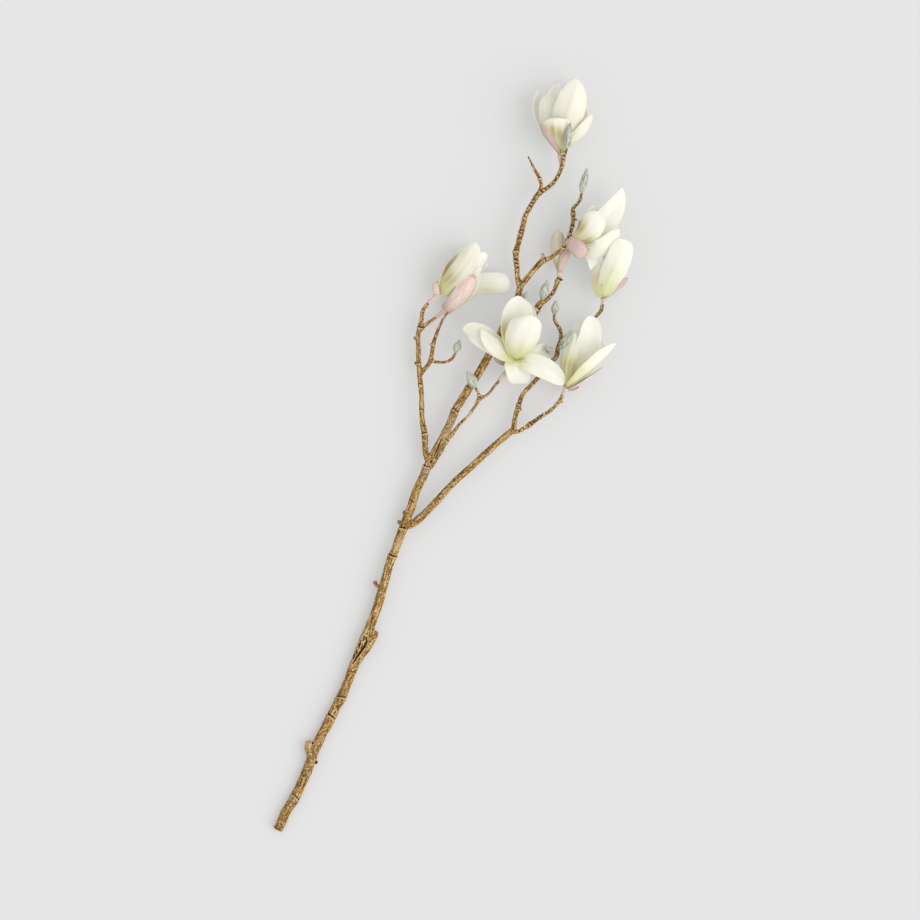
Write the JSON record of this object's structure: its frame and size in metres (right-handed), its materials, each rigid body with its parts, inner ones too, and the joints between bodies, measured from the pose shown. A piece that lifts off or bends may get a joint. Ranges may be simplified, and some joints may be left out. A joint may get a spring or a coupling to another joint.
{
  "type": "saucer magnolia branch",
  "caption": "Cut saucer magnolia branch lying flat: a forked brown stem with thin twigs that carry cream blooms, pink bracts and furred winter buds.",
  "frame": {"origin": "on the surface that the branch lies on, under the middle of its bounding box", "axes": "+Y from the cut end of the stem toward the top bloom, +Z up from the surface, +X to the right when seen from above with +Y up"},
  "size_m": [0.2328, 0.9728, 0.0799],
  "materials": {
    "bark": "rough, tan to brown, with raised pores and leaf scars",
    "tepal": "soft satin, cream-white, yellow-green toward the root",
    "bract": "velvety, dusty pink",
    "bud_fur": "short dense fur, grey-green"
  },
  "bodies": {
    "root": {"branch_wood": "bark", "top_bloom_tepals": "tepal", "upper_right_bloom_tepals": "tepal", "half_open_bloom_tepals": "tepal", "right_bloom_tepals": "tepal", "centre_bloom_tepals": "tepal", "lower_right_bloom_tepals": "tepal", "left_bloom_tepals": "tepal", "low_left_bloom_tepals": "tepal", "top_bloom_bracts": "bract", "upper_right_bloom_bracts": "bract", "half_open_bloom_bracts": "bract", "right_bloom_bracts": "bract", "centre_bloom_bracts": "bract", "lower_right_bloom_bracts": "bract", "left_bloom_bracts": "bract", "low_left_bloom_bracts": "bract", "bud_top": "bud_fur", "bud_upper_right": "bud_fur", "bud_middle": "bud_fur", "bud_behind_centre": "bud_fur", "bud_left": "bud_fur", "bud_right_long": "bud_fur", "bud_right_side": "bud_fur", "bud_stem": "bud_fur", "bud_right_upper": "bud_fur"}
  },
  "joints": []
}
